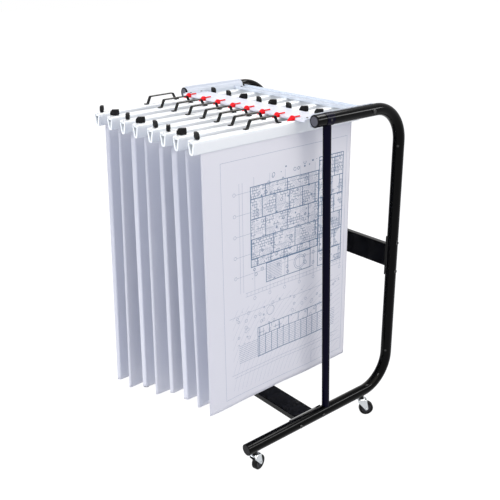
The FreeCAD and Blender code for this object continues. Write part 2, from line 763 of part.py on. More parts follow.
# Write the nodes
save("upper_tubes", [upper_tube(side) for side in sides.values()])
save("uprights", [upright(side) for side in sides.values()])
save("base_tubes", [base_tube(side) for side in sides.values()])
save("tube_end_caps", [tube_end_cap(side, y, z) for side in sides.values()
                       for y, z in ((arm_front_y, arm_height), (leg_front_y, leg_height))])
save("middle_crossbar", [crossbar(Vector(0, upright_y, middle_bar_height), up, False, middle_bolts)])
save("lower_crossbar", [crossbar(Vector(0, lower_bar_y, leg_height), back, True, lower_bolts)])
save("struts", [strut(side) for side in sides.values()])
save("side_covers", [side_cover(side) for side in sides.values()])
save("front_rail", [front_rail()])
save("rear_rail", [rear_rail()])
save("frame_bolts", frame_bolts())
save("castor_sockets", [castor_socket(side * frame_x, y) for side in sides.values()
                        for y in castor_ys.values()])

rail_solids = clamp_rail()
handle_solid = clamp_handle()
row_stretch = (2 * rail_half - first_clamp_margin - last_clamp_margin) / clamp_row[-1][0]
for number, (distance, swing) in enumerate(clamp_row, start=1):
    place_x = first_clamp_margin - rail_half + row_stretch * distance
    place = Placement(Vector(place_x, hook_y, 0), Rotation(up, swing))
    save("clamp_rail_%d" % number, [moved(solid, place) for solid in rail_solids])
    save("clamp_handle_%d" % number, [moved(handle_solid, place)])
    save("plan_sheet_%d" % number, [moved(sheet(*sheet_shapes[number - 1]), place)])
    save("front_knob_%d" % number, [moved(knob(-knob_ahead, front_knob_turns[number - 1]), place)])
    save("rear_knob_%d" % number, [moved(knob(knob_behind, rear_knob_turns[number - 1]), place)])

fork_solids = castor_fork()
wheel_solid = castor_wheel()
for side_name, side in sides.items():
    for end_name, castor_y in castor_ys.items():
        name = side_name + "_" + end_name
        place = Placement(Vector(side * frame_x, castor_y, 0), Rotation(up, castor_turns[name]))
        save("castor_fork_" + name, [moved(solid, place) for solid in fork_solids])
        save("castor_wheel_" + name, [moved(wheel_solid, place)])
print("depth %.1f, pivot Y %.2f, clamp top %.1f" % (overall_depth, hook_y, clamp_top))
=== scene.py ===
# Plan hanging rack: finishes, hung drawings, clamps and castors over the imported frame.
# Metres, +X to the right of the open front, +Y to the rear, +Z up, floor at Z = 0.
import json
import math
import bpy
import numpy as np
from mathutils import Matrix, Vector


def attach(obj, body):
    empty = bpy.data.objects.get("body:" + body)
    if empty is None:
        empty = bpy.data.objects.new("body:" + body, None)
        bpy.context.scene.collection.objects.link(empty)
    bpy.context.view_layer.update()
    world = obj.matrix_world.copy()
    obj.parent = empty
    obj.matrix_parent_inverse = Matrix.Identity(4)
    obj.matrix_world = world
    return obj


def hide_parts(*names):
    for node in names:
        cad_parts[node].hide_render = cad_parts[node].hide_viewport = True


mm = 0.001
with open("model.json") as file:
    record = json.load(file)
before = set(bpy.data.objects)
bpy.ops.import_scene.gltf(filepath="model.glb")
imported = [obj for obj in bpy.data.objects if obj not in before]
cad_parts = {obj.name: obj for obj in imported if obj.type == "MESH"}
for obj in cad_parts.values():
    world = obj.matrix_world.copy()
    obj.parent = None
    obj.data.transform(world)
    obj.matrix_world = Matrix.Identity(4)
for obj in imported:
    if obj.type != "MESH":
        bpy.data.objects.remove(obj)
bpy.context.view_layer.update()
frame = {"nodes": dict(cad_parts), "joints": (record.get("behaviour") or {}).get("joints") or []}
nodes = frame["nodes"]
joints = {joint["name"]: joint for joint in frame["joints"]}
rackSlots = 8


# small helpers
def linearColour(hexCode, alpha=1.0):
    # sRGB hex to linear light: divide by 12.92 near black, else the 2.4 power curve
    channels = np.array([int(hexCode[i:i + 2], 16) for i in (0, 2, 4)]) / 255.0
    linear = np.where(channels <= 0.04045, channels / 12.92, ((channels + 0.055) / 1.055) ** 2.4)
    return (*linear.tolist(), alpha)


def addNode(tree, kind, settings=None, inputs=None):
    # one node with its settings, and its inputs as values or as (node, output) links
    made = tree.nodes.new(kind)
    for key, value in (settings or {}).items():
        setattr(made, key, value)
    for key, value in (inputs or {}).items():
        if isinstance(value, tuple) and isinstance(value[0], bpy.types.Node):
            tree.links.new(value[0].outputs[value[1]], made.inputs[key])
        else:
            made.inputs[key].default_value = value
    return made


def startMaterial(name, shader):
    # empty node tree with a Principled shader on the output
    made = bpy.data.materials.new(name)
    made.use_nodes = True
    tree = made.node_tree
    tree.nodes.clear()
    principled = addNode(tree, "ShaderNodeBsdfPrincipled", None, shader)
    addNode(tree, "ShaderNodeOutputMaterial", None, {"Surface": (principled, "BSDF")})
    return made, tree, principled


def setRamp(ramp, stops):
    # colour ramp stops as (position, linear colour)
    band = ramp.color_ramp
    while len(band.elements) > len(stops):
        band.elements.remove(band.elements[-1])
    while len(band.elements) < len(stops):
        band.elements.new(1.0)
    for element, (position, colour) in zip(band.elements, stops):
        element.position = position
        element.color = colour


def meshPiece(name, points, faces, material, smoothAngle=35.0):
    # mesh from an N x 3 array and a list of faces, smooth across edges under the angle
    mesh = bpy.data.meshes.new(name)
    mesh.from_pydata(points.tolist(), [], faces)
    mesh.validate()
    mesh.shade_smooth()
    mesh.set_sharp_from_angle(angle=math.radians(smoothAngle))
    mesh.materials.append(material)
    piece = bpy.data.objects.new(name, mesh)
    bpy.context.scene.collection.objects.link(piece)
    return piece


def gridFaces(rows, columns, wrapRows, wrapColumns, first=0):
    # quads between neighbouring points of a rows x columns grid, row-major from index first
    r = np.arange(rows if wrapRows else rows - 1)[:, None]
    c = np.arange(columns if wrapColumns else columns - 1)[None, :]
    rNext, cNext = (r + 1) % rows, (c + 1) % columns
    quads = np.stack([r * columns + c, r * columns + cNext,
                      rNext * columns + cNext, rNext * columns + c], axis=-1)
    return (quads.reshape(-1, 4) + first).tolist()


def tubeMesh(sections):
    # closed sections, rows x columns x 3, skinned along the rows, with a flat face at each end
    rows, columns = sections.shape[:2]
    faces = gridFaces(rows, columns, False, True)
    faces.append(list(range(columns))[::-1])
    faces.append(list(range((rows - 1) * columns, rows * columns)))
    return sections.reshape(-1, 3), faces


def joinMeshes(parts):
    # several (points, faces) pairs as one, with the face indices moved on
    points, faces, count = [], [], 0
    for partPoints, partFaces in parts:
        points.append(partPoints)
        faces += [[index + count for index in face] for face in partFaces]
        count += len(partPoints)
    return np.concatenate(points), faces


def roundCorners(corners, radii, steps=6, closed=True):
    # polyline whose corners become arcs: each arc starts radius * tan(half turn) before its corner
    pts = np.array(corners, float)
    out = []
    count = len(pts)
    for i in range(count):
        radius = radii[i]
        if radius == 0 or (not closed and i in (0, count - 1)):
            out.append(pts[i][None])
            continue
        back = pts[i - 1] - pts[i]
        ahead = pts[(i + 1) % count] - pts[i]
        back, ahead = back / np.linalg.norm(back), ahead / np.linalg.norm(ahead)
        half = math.acos(float(np.clip(back @ ahead, -1, 1))) / 2
        centre = pts[i] + (back + ahead) / np.linalg.norm(back + ahead) * radius / math.sin(half)
        start = pts[i] + back * radius / math.tan(half) - centre
        end = pts[i] + ahead * radius / math.tan(half) - centre
        t = np.linspace(0, 1, steps + 1)[:, None]
        total = math.pi - 2 * half
        out.append(centre + (np.sin((1 - t) * total) * start + np.sin(t * total) * end) / math.sin(total))
    return np.concatenate(out)


def revolve(profile, steps=48):
    # (radius, height) points turned about Z, closed at the axis by flat faces
    profile = np.array(profile, float)
    turn = np.linspace(0, 2 * math.pi, steps, endpoint=False)
    x = profile[:, :1] * np.cos(turn)
    y = profile[:, :1] * np.sin(turn)
    z = np.repeat(profile[:, 1:], steps, axis=1)
    return tubeMesh(np.stack([x, y, z], axis=-1))


def turned(points, matrix):
    # N x 3 points through a 4 x 4 matrix
    m = np.array(matrix)
    return points @ m[:3, :3].T + m[:3, 3]


def finishPiece(piece, body, slotName, *replaced):
    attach(piece, body)
    if replaced:
        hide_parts(*replaced)
    return piece


# camera, at the height and side from which the rack is usually shown
view = {"place": (1.8569, -1.5134, 1.5451), "azimuth": 50.51, "pitch": 21.52, "roll": -0.71,
        "focalPixels": 757.74, "imagePixels": 500, "sensor": 36.0, "clipNear": 0.05, "clipFar": 60.0}


def makeCamera():
    azimuth, pitch, roll = (math.radians(view[key]) for key in ("azimuth", "pitch", "roll"))
    forward = Vector((-math.sin(azimuth) * math.cos(pitch), math.cos(azimuth) * math.cos(pitch),
                      -math.sin(pitch)))
    right = Vector((math.cos(azimuth), math.sin(azimuth), 0))
    above = right.cross(forward)
    rolledRight = right * math.cos(roll) + above * math.sin(roll)
    rolledAbove = above * math.cos(roll) - right * math.sin(roll)
    turn = Matrix((rolledRight, rolledAbove, -forward)).transposed().to_4x4()
    data = bpy.data.cameras.new("rackCamera")
    data.sensor_width = view["sensor"]
    data.lens = view["focalPixels"] / view["imagePixels"] * view["sensor"]
    data.clip_start = view["clipNear"]
    data.clip_end = view["clipFar"]
    camera = bpy.data.objects.new("rackCamera", data)
    camera.matrix_world = Matrix.Translation(view["place"]) @ turn
    bpy.context.scene.collection.objects.link(camera)
    bpy.context.scene.camera = camera


makeCamera()
print("camera placed")

# studio: pale floor and backdrop, soft lamps
studio = {"floorHex": "F4F5F7", "floorSize": 40.0, "floorWhite": 1.17, "floorWhiteShare": 0.86,
          "worldLight": 0.50, "worldHex": "D6DEFF", "aimHeight": 0.6,
          "keyWatts": 67.0, "keyPlace": (3.1, 0.4, 3.0), "keySize": (3.2, 3.0), "keyHex": "FFF8EA",
          "frontWatts": 92.0, "frontPlace": (-1.2, -3.5, 2.2), "frontSize": (1.6, 1.6), "frontHex": "FFFFFF",
          "topWatts": 10.0, "topPlace": (0.5, -0.5, 3.4), "topSize": (2.4, 2.4), "topHex": "FFFFFF",
          "fillWatts": 20.0, "fillPlace": (-3.0, 1.8, 1.8), "fillSize": (2.4, 2.4), "fillHex": "FFF6E8",
          # two strips behind the rack and a small lamp ahead, seen only in gloss: they draw the
          # thin lines and glints on the tubes
          "rimWatts": 46.0, "rimPlace": (2.5, 2.0, 2.2), "rimSize": (1.7, 0.45), "rimHex": "FFFFFF",
          "ridgeWatts": 34.0, "ridgePlace": (0.4, 1.7, 3.1), "ridgeSize": (1.6, 0.4), "ridgeHex": "FFFFFF",
          "glintWatts": 24.0, "glintPlace": (2.0, -1.1, 2.3), "glintSize": (0.4, 0.4), "glintHex": "FFFFFF"}


def seenAsWhite(tree):
    # 1 for camera, glossy and transmission rays, 0 for the light that falls on the rack
    path = addNode(tree, "ShaderNodeLightPath")
    either = addNode(tree, "ShaderNodeMath", {"operation": "MAXIMUM"},
                     {0: (path, "Is Camera Ray"), 1: (path, "Is Glossy Ray")})
    return addNode(tree, "ShaderNodeMath", {"operation": "MAXIMUM"},
                   {0: (either, 0), 1: (path, "Is Transmission Ray")})


def makeWorld():
    world = bpy.data.worlds.new("paleStudio")
    world.use_nodes = True
    tree = world.node_tree
    tree.nodes.clear()
    seen = seenAsWhite(tree)
    strength = addNode(tree, "ShaderNodeMapRange", None,
                       {"Value": (seen, 0), "To Min": studio["worldLight"], "To Max": 1.0})
    tint = addNode(tree, "ShaderNodeMix", {"data_type": "RGBA"},
                   {"Factor": (seen, 0), 6: linearColour(studio["worldHex"]), 7: (1, 1, 1, 1)})
    light = addNode(tree, "ShaderNodeBackground", None,
                    {"Color": (tint, 2), "Strength": (strength, "Result")})
    addNode(tree, "ShaderNodeOutputWorld", None, {"Surface": (light, "Background")})
    bpy.context.scene.world = world


def makeFloor():
    # white for the eye, with the rack's shadow kept by a share of plain diffuse
    made = bpy.data.materials.new("studioFloor")
    made.use_nodes = True
    tree = made.node_tree
    tree.nodes.clear()
    seen = seenAsWhite(tree)
    share = addNode(tree, "ShaderNodeMath", {"operation": "MULTIPLY"},
                    {0: (seen, 0), 1: studio["floorWhiteShare"]})
    plain = addNode(tree, "ShaderNodeBsdfDiffuse", None, {"Color": linearColour(studio["floorHex"])})
    white = addNode(tree, "ShaderNodeEmission", None,
                    {"Color": (1, 1, 1, 1), "Strength": studio["floorWhite"]})
    mixed = addNode(tree, "ShaderNodeMixShader", None, {0: (share, 0), 1: (plain, 0), 2: (white, 0)})
    addNode(tree, "ShaderNodeOutputMaterial", None, {"Surface": (mixed, 0)})
    half = studio["floorSize"] / 2
    corners = np.array([[-half, -half, 0], [half, -half, 0], [half, half, 0], [-half, half, 0]])
    floor = meshPiece("studioFloor", corners, [[0, 1, 2, 3]], made)


def makeLamp(name):
    # rectangular lamp turned towards the middle of the rack
    place = Vector(studio[name + "Place"])
    data = bpy.data.lights.new(name + "Lamp", "AREA")
    data.shape = "RECTANGLE"
    data.size, data.size_y = studio[name + "Size"]
    data.energy = studio[name + "Watts"]
    data.color = linearColour(studio[name + "Hex"])[:3]
    lamp = bpy.data.objects.new(name + "Lamp", data)
    lamp.location = place
    lamp.rotation_euler = (Vector((0, 0, studio["aimHeight"])) - place).to_track_quat("-Z", "Y").to_euler()
    bpy.context.scene.collection.objects.link(lamp)
    return lamp


makeWorld()
makeFloor()
for lampName in ("key", "front", "top", "fill"):
    makeLamp(lampName)
for lampName in ("rim", "ridge", "glint"):
    makeLamp(lampName).visible_diffuse = False
bpy.context.scene.view_settings.view_transform = "Standard"
print("studio lit")


# finishes
def fineRelief(tree, shader, size, detail, strength, distance, stretch=(1, 1, 1)):
    # bumps from a noise on the piece's own metres, each about as wide as the size
    place = addNode(tree, "ShaderNodeTexCoord")
    stretched = addNode(tree, "ShaderNodeMapping", {"vector_type": "POINT"},
                        {"Vector": (place, "Object"), "Scale": stretch})
    noise = addNode(tree, "ShaderNodeTexNoise", None,
                    {"Vector": (stretched, 0), "Scale": 1 / size, "Detail": detail})
    bump = addNode(tree, "ShaderNodeBump", None,
                   {"Height": (noise, "Fac"), "Strength": strength, "Distance": distance})
    tree.links.new(bump.outputs[0], shader.inputs["Normal"])


def unevenGloss(tree, shader, size, detail, low, high):
    # roughness that drifts between low and high in clouds as wide as the size
    place = addNode(tree, "ShaderNodeTexCoord")
    cloud = addNode(tree, "ShaderNodeTexNoise", None,
                    {"Vector": (place, "Object"), "Scale": 1 / size, "Detail": detail})
    spread = addNode(tree, "ShaderNodeMapRange", None,
                     {"Value": (cloud, "Fac"), "To Min": low, "To Max": high})
    tree.links.new(spread.outputs[0], shader.inputs["Roughness"])


def powderCoat(name, hexCode, roughness, specular, peelSize=1.6 * mm, peelDepth=0.02):
    # sprayed and baked powder on steel: an even film with fine orange peel, so lamps show
    # as lines with a slightly ragged edge
    made, tree, shader = startMaterial(name, {
        "Base Color": linearColour(hexCode), "Roughness": roughness, "Specular IOR Level": specular})
    fineRelief(tree, shader, peelSize, 2.0, peelDepth, 0.2 * mm)
    unevenGloss(tree, shader, 60 * mm, 5.0, roughness * 0.8, roughness * 1.25)
    return made


def mouldedPlastic(name, hexCode, roughness, grain=0.8 * mm, depth=0.05):
    # injection-moulded plastic with a fine spark-eroded grain
    made, tree, shader = startMaterial(name, {
        "Base Color": linearColour(hexCode), "Roughness": roughness, "Specular IOR Level": 0.14})
    fineRelief(tree, shader, grain, 3.0, depth, 0.1 * mm)
    return made


blackCoat = powderCoat("glossBlackPowderCoat", "010102", 0.13, 0.08)
barCoat = powderCoat("glossBlackBarCoat", "020203", 0.13, 0.2)
strutCoat = powderCoat("blueBlackPowderCoat", "05031A", 0.2, 0.05)
whiteCoat = powderCoat("whitePowderCoat", "F1F3F8", 0.42, 0.4)
# side covers and rear rail: the front rail's white paint, painted greyer and bluer as painted shade for these
# less lit parts
whiteCoatPaintedShade = powderCoat("whitePowderCoatPaintedShade", "DDE4EA", 0.42, 0.4)


def extrudedAluminium(name, hexCode, roughness=0.42, dieLine=1.1 * mm):
    # aluminium drawn through a die, etched and clear anodised: satin, with faint lines that run
    # the length of the clamp; the lines are drawn coarser than real ones so that they show
    made, tree, shader = startMaterial(name, {
        "Base Color": linearColour(hexCode), "Metallic": 0.3, "Roughness": roughness})
    fineRelief(tree, shader, dieLine, 2.0, 0.12, 0.08 * mm, (1, 0.02, 1))
    return made


def paintedSpring(name, hexCode):
    # spring steel dipped in red enamel: glossy and slightly uneven
    made, tree, shader = startMaterial(name, {
        "Base Color": linearColour(hexCode), "Roughness": 0.35, "Specular IOR Level": 0.15})
    place = addNode(tree, "ShaderNodeTexCoord")
    runs = addNode(tree, "ShaderNodeTexNoise", None,
                   {"Vector": (place, "Object"), "Scale": 1 / (5 * mm), "Detail": 2.0})
    tone = addNode(tree, "ShaderNodeHueSaturation", None,
                   {"Color": linearColour(hexCode), "Value": 1.0})
    level = addNode(tree, "ShaderNodeMapRange", None,
                    {"Value": (runs, "Fac"), "To Min": 0.85, "To Max": 1.12})
    tree.links.new(level.outputs[0], tone.inputs["Value"])
    tree.links.new(tone.outputs[0], shader.inputs["Base Color"])
    return made


def zincPlate(name, hexCode, roughness=0.28):
    # bright zinc on pressed steel: a metal with a faint cloudy spangle
    made, tree, shader = startMaterial(name, {
        "Base Color": linearColour(hexCode), "Metallic": 1.0, "Roughness": roughness})
    unevenGloss(tree, shader, 4 * mm, 3.0, roughness * 0.7, roughness * 1.5)
    return made


extrudedSilver = extrudedAluminium("silverAnodisedExtrusion", "F0F3F3")
redSteel = paintedSpring("redEnamelSpringSteel", "FA0A1E")
blackHandle = mouldedPlastic("blackNylonHandle", "0A0A0B", 0.42)
knobBlack = mouldedPlastic("blackRibbedNylon", "161617", 0.5)
socketPlastic = mouldedPlastic("blackCastorSocket", "08080A", 0.45)
zincFork = zincPlate("brightZincFork", "C6CACD")
tyreRubber = mouldedPlastic("blackTyreRubber", "060606", 0.5, 1.2 * mm, 0.08)
hubNylon = mouldedPlastic("greyNylonHub", "3A3A3D", 0.45)
boltBlack = powderCoat("blackOxideBolt", "0A0A0B", 0.22, 0.5, 0.8 * mm)


# place of the arms' axes and the edge of a plug's dish, which bound the painted highlight on the upper plugs
plug = {"axisAcross": 322 * mm, "axisHeight": 1091 * mm, "dishRadius": 13 * mm, "dishEdge": 2 * mm}


def plugPlastic(name, paintedHighlightHex, rimHex):
    # tube plugs: black with a dished middle; the dishes of the upper pair are painted grey, a painted
    # highlight for the light they catch
    made, tree, shader = startMaterial(name, {"Roughness": 0.4, "Specular IOR Level": 0.14})
    place = addNode(tree, "ShaderNodeTexCoord")
    split = addNode(tree, "ShaderNodeSeparateXYZ", None, {0: (place, "Object")})
    outward = addNode(tree, "ShaderNodeMath", {"operation": "ABSOLUTE"}, {0: (split, "X")})
    across = addNode(tree, "ShaderNodeMath", {"operation": "SUBTRACT"},
                     {0: (outward, 0), 1: plug["axisAcross"]})
    above = addNode(tree, "ShaderNodeMath", {"operation": "SUBTRACT"},
                    {0: (split, "Z"), 1: plug["axisHeight"]})
    reach = addNode(tree, "ShaderNodeCombineXYZ", None, {0: (across, 0), 1: (above, 0)})
    radius = addNode(tree, "ShaderNodeVectorMath", {"operation": "LENGTH"}, {0: (reach, 0)})
    inPaintedHighlight = addNode(tree, "ShaderNodeMapRange", None,
                     {"Value": (radius, "Value"), "From Min": plug["dishRadius"],
                      "From Max": plug["dishRadius"] + plug["dishEdge"], "To Min": 1.0, "To Max": 0.0})
    tone = addNode(tree, "ShaderNodeMix", {"data_type": "RGBA"},
                   {"Factor": (inPaintedHighlight, "Result"), 6: linearColour(rimHex), 7: linearColour(paintedHighlightHex)})
    tree.links.new(tone.outputs[2], shader.inputs["Base Color"])
    return made


# the grey is a painted highlight on the upper plugs' dishes, the near black is the plugs' own colour
capPlastic = plugPlastic("blackTubePlug", "5A5A60", "0B0B0D")


# made-up general arrangement, in millimetres across and down the paper: an area is its left, right,
# top and bottom edge, a ruling its pitch and line width, a circle its centre, radius and line width
plan = {"inkHex": "426A8C", "margin": ((64, 576, 60, 812), 1.1), "titleBlock": ((430, 576, 768, 812), 1.1),
        "main": ((172, 452, 148, 398), 2.6), "wing": ((452, 562, 108, 470), 2.4),
        "annex": ((232, 420, 398, 462), 2.4), "cabins": ((196, 500, 604, 706), 2.2),
        "annexWall": (322, 324, 398, 462),
        # rooms as width, depth, line width and shift of every other row
        "mainRooms": (88, 62, 1.3, 0.37), "wingRooms": (55, 60, 1.2, 0.5), "cabinRooms": (41, 106, 1.0, 0.0),
        "mainFittings": (13, 8.5, 0.8, 0.5), "wingFittings": (8, 11, 0.8, 0.33),
        "cabinFittings": (17, 24, 0.8, 0.0), "cabinFront": (200, 496, 604, 640), "inset": 2,
        "steps": ((234, 298, 402, 458), 5.2, 1.2), "decking": ((456, 560, 300, 352), 6.0, 1.2),
        "parking": ((120, 540, 640, 704), 6.5, 1.0), "hatching": (6.0, 1.0),
        "circles": (((372, 430), 24, 1.4), ((372, 430), 18, 1.2), ((250, 560), 16, 1.2)),
        # noise patches choose where fittings and hatching go, and spots on a cell pitch the planting
        "patch": 34.0, "fittedAbove": 0.51, "hatchedBelow": 0.45,
        "spotPitch": 24.0, "spotRing": (4.4, 5.9), "spotDot": (0.0, 1.1),
        "furnished": (174, 560, 110, 462), "garden": (110, 560, 530, 640),
        "contourCentre": (640.0, 930.0), "contours": ((96, 566, 520, 796), 17.0, 1.0),
        # grid axes as first place, pitch and number, with a bubble at the end of each
        "axesAcross": (186, 62, 7), "axesDown": (160, 64, 5), "axisPen": 1.1, "bubble": (5.5, 1.3),
        "bubbleRow": 500, "bubbleColumn": 112, "axisArea": (150, 566, 120, 494),
        "levelArea": (118, 566, 130, 470), "ticks": ((150, 566, 474, 487), 15.5, 1.0),
        "longLines": ((150, 566, 474, 475.1), (150, 566, 486, 487.1), (130, 131.1, 130, 470),
                      (142, 143.1, 130, 470), (84, 560, 540, 541.1), (90, 560, 735, 736.1),
                      (100, 540, 746, 747)),
        # how dark each layer is drawn
        "wallShare": 0.9, "detailShare": 0.75, "settingShare": 0.5, "contourShare": 0.3,
        "plantingShare": 0.45}


def plotPaper(name, hexCode, printed):
    # uncoated plotting paper: matt, faintly blue-white, with a soft tooth; the print is in grey-blue
    # ink, its lines a little heavier than a pen's so that they show
    made, tree, shader = startMaterial(name, {
        "Base Color": linearColour(hexCode), "Roughness": 0.75, "Specular IOR Level": 0.25})
    fineRelief(tree, shader, 1.4 * mm, 3.0, 0.06, 0.1 * mm)
    if printed:
        mixed = addNode(tree, "ShaderNodeMix", {"data_type": "RGBA"},
                        {"Factor": planInk(tree), 6: linearColour(hexCode), 7: linearColour(plan["inkHex"])})
        tree.links.new(mixed.outputs[2], shader.inputs["Base Color"])
    return made


def planInk(tree):
    # ink from 0 to 1: every line is a test on the millimetres across and down the paper, a product
    # is where both tests hold and a maximum where either does
    paperMap = addNode(tree, "ShaderNodeUVMap", {"uv_map": "paperUV"})
    inMillimetres = addNode(tree, "ShaderNodeVectorMath", {"operation": "SCALE"},
                            {"Vector": (paperMap, 0), "Scale": 1000.0})
    split = addNode(tree, "ShaderNodeSeparateXYZ", None, {0: (inMillimetres, 0)})
    across, down = (split, "X"), (split, "Y")

    def within(value, low, high):
        return (addNode(tree, "ShaderNodeMath", {"operation": "COMPARE"},
                        {0: value, 1: (low + high) / 2, 2: (high - low) / 2}), 0)

    def both(first, second):
        return (addNode(tree, "ShaderNodeMath", {"operation": "MULTIPLY"}, {0: first, 1: second}), 0)

    def either(items):
        total = items[0]
        for item in items[1:]:
            total = (addNode(tree, "ShaderNodeMath", {"operation": "MAXIMUM"}, {0: total, 1: item}), 0)
        return total

    def inset(area, by):
        left, right, top, bottom = area
        return left + by, right - by, top + by, bottom - by

    def block(area):
        left, right, top, bottom = area
        return both(within(across, left, right), within(down, top, bottom))

    def outline(area, pen):
        return (addNode(tree, "ShaderNodeMath", {"operation": "SUBTRACT"},
                        {0: block(area), 1: block(inset(area, pen))}), 0)

    def ruled(value, pitch, pen, first=0.0):
        moved = addNode(tree, "ShaderNodeMath", {"operation": "ADD"}, {0: value, 1: 1000.0 * pitch - first})
        rest = addNode(tree, "ShaderNodeMath", {"operation": "MODULO"}, {0: (moved, 0), 1: pitch})
        return within((rest, 0), 0.0, pen)

    def ruledArea(key, value):
        area, pitch, pen = plan[key]
        return both(ruled(value, pitch, pen), block(area))

    def reachFrom(centre):
        return (addNode(tree, "ShaderNodeVectorMath", {"operation": "DISTANCE"},
                        {0: (inMillimetres, 0), 1: (*centre, 0.0)}), "Value")

    def ring(centre, radius, pen):
        return within(reachFrom(centre), radius - pen, radius)

    def rooms(key, area):
        width, depth, pen, shift = plan[key]
        wall = addNode(tree, "ShaderNodeTexBrick", {"offset": shift, "squash": 0.62, "squash_frequency": 3},
                       {"Vector": (inMillimetres, 0), "Color1": (0, 0, 0, 1), "Color2": (0, 0, 0, 1),
                        "Mortar": (1, 1, 1, 1), "Scale": 1.0, "Mortar Size": pen, "Mortar Smooth": 0.0,
                        "Brick Width": width, "Row Height": depth})
        return both((wall, 0), block(area))

    patches = addNode(tree, "ShaderNodeTexNoise", None,
                      {"Vector": (inMillimetres, 0), "Scale": 1 / plan["patch"], "Detail": 1.0})
    fitted = addNode(tree, "ShaderNodeMath", {"operation": "GREATER_THAN"},
                     {0: (patches, "Fac"), 1: plan["fittedAbove"]})
    hatched = addNode(tree, "ShaderNodeMath", {"operation": "LESS_THAN"},
                      {0: (patches, "Fac"), 1: plan["hatchedBelow"]})
    slant = addNode(tree, "ShaderNodeMath", {"operation": "ADD"}, {0: across, 1: down})
    spots = addNode(tree, "ShaderNodeTexVoronoi", None,
                    {"Vector": (inMillimetres, 0), "Scale": 1 / plan["spotPitch"]})
    fromSpot = both((spots, "Distance"), plan["spotPitch"])
    ringsAndDots = either([within(fromSpot, *plan["spotRing"]), within(fromSpot, *plan["spotDot"])])
    mainInside, wingInside = (inset(plan[key][0], plan["inset"]) for key in ("main", "wing"))

    walls = either([outline(*plan[key]) for key in ("main", "wing", "annex", "cabins")]
                   + [rooms(key, plan[area][0]) for key, area in
                      (("mainRooms", "main"), ("wingRooms", "wing"), ("cabinRooms", "cabins"))]
                   + [block(plan["annexWall"])])
    details = either([both(rooms(key, area), (fitted, 0)) for key, area in
                      (("mainFittings", mainInside), ("wingFittings", wingInside),
                       ("cabinFittings", plan["cabinFront"]))]
                     + [ruledArea("steps", down), ruledArea("parking", down), ruledArea("decking", across),
                        both(both(ruled((slant, 0), *plan["hatching"]), (hatched, 0)), block(mainInside)),
                        both(ringsAndDots, block(plan["furnished"]))]
                     + [ring(*circle) for circle in plan["circles"]])
    firstAcross, pitchAcross, countAcross = plan["axesAcross"]
    firstDown, pitchDown, countDown = plan["axesDown"]
    bubbles = [(firstAcross + pitchAcross * step, plan["bubbleRow"]) for step in range(countAcross)]
    bubbles += [(plan["bubbleColumn"], firstDown + pitchDown * step) for step in range(countDown)]
    setting = either([ring(centre, *plan["bubble"]) for centre in bubbles]
                     + [both(ruled(across, pitchAcross, plan["axisPen"], firstAcross),
                             block(plan["axisArea"])),
                        both(ruled(down, pitchDown, plan["axisPen"], firstDown), block(plan["levelArea"])),
                        ruledArea("ticks", across), outline(*plan["margin"]), outline(*plan["titleBlock"])]
                     + [block(area) for area in plan["longLines"]])
    contours = ruledArea("contours", reachFrom(plan["contourCentre"]))
    planting = both(ringsAndDots, block(plan["garden"]))
    return either([both(layer, plan[share]) for layer, share in
                   ((walls, "wallShare"), (details, "detailShare"), (setting, "settingShare"),
                    (contours, "contourShare"), (planting, "plantingShare"))])


plainPaper = plotPaper("plainPlotPaper", "DDE1ED", False)
printedPaper = plotPaper("printedPlotPaper", "EAEAEC", True)


for nodeName, finish in (("upper_tubes", blackCoat), ("uprights", blackCoat), ("base_tubes", blackCoat),
                         ("middle_crossbar", barCoat), ("lower_crossbar", barCoat), ("struts", strutCoat),
                         ("side_covers", whiteCoatPaintedShade), ("front_rail", whiteCoat), ("rear_rail", whiteCoatPaintedShade),
                         ("tube_end_caps", capPlastic), ("castor_sockets", socketPlastic),
                         ("frame_bolts", boltBlack)):
    nodes[nodeName].data.materials.clear()
    nodes[nodeName].data.materials.append(finish)
print("frame painted")


# clamps: extruded jaws, red hook, strap handle and wing knobs
jaw = {"ahead": 376 * mm, "behind": 277 * mm, "half": 13 * mm, "height": 41 * mm, "lip": 7.5 * mm,
       "lipHeight": 5 * mm, "shoulder": 30 * mm, "wall": 5.4 * mm, "topWall": 9.5 * mm, "corner": 4.5 * mm,
       "lipCorner": 6 * mm, "shoulderBend": 12 * mm, "hollowBend": 6 * mm, "slit": 0.17 * mm,
       "hollowFoot": 1.4 * mm, "hinge": 5.55 * mm, "bead": 2.7 * mm, "beadGap": 0.3 * mm,
       "pinHole": 1.4 * mm, "plugDepth": 2 * mm, "plugProud": 0.03 * mm,
       # near edge, far edge and depth of the groove along the top
       "groove": (4 * mm, 9 * mm, 1 * mm), "endChamfer": 0.35 * mm}
hook = {"tip": -28.5 * mm, "lip": -6.9 * mm, "end": 21.5 * mm, "headHalf": 9.5 * mm, "tipHalf": 2.2 * mm,
        "tailHalf": 3.5 * mm, "tailLow": 7.2 * mm, "tailHigh": 10.7 * mm, "crown": 13.9 * mm}
handle = {"front": -192.5 * mm, "rear": -56.8 * mm, "foot": 11.2 * mm, "lean": 10.6 * mm,
          "rise": 23.5 * mm, "width": 12 * mm, "thickness": 3 * mm, "bend": 5 * mm, "footBend": 3 * mm,
          "edge": 1.1 * mm}
knob = {"halfLong": 14 * mm, "halfThick": 5.75 * mm, "height": 18.3 * mm, "cut": 7 * mm, "seat": 0.3 * mm,
        "base": 6 * mm, "baseHeight": 2 * mm, "ribPitch": 2.9 * mm, "ribDepth": 0.7 * mm,
        "ribReach": 11.2 * mm, "ribFade": 1.5 * mm, "power": 6,
        "stem": 4 * mm, "camTop": -10.5 * mm, "camHeight": 6 * mm, "camLong": 5.5 * mm, "camShort": 4.25 * mm,
        # turn of each wing about its stem, degrees from the line of the clamp
        "frontTurns": (50, -32, 50, -35, 67, 230, -30, 67),
        "rearTurns": (68, 68, -35, 68, -30, 68, -35, -40)}


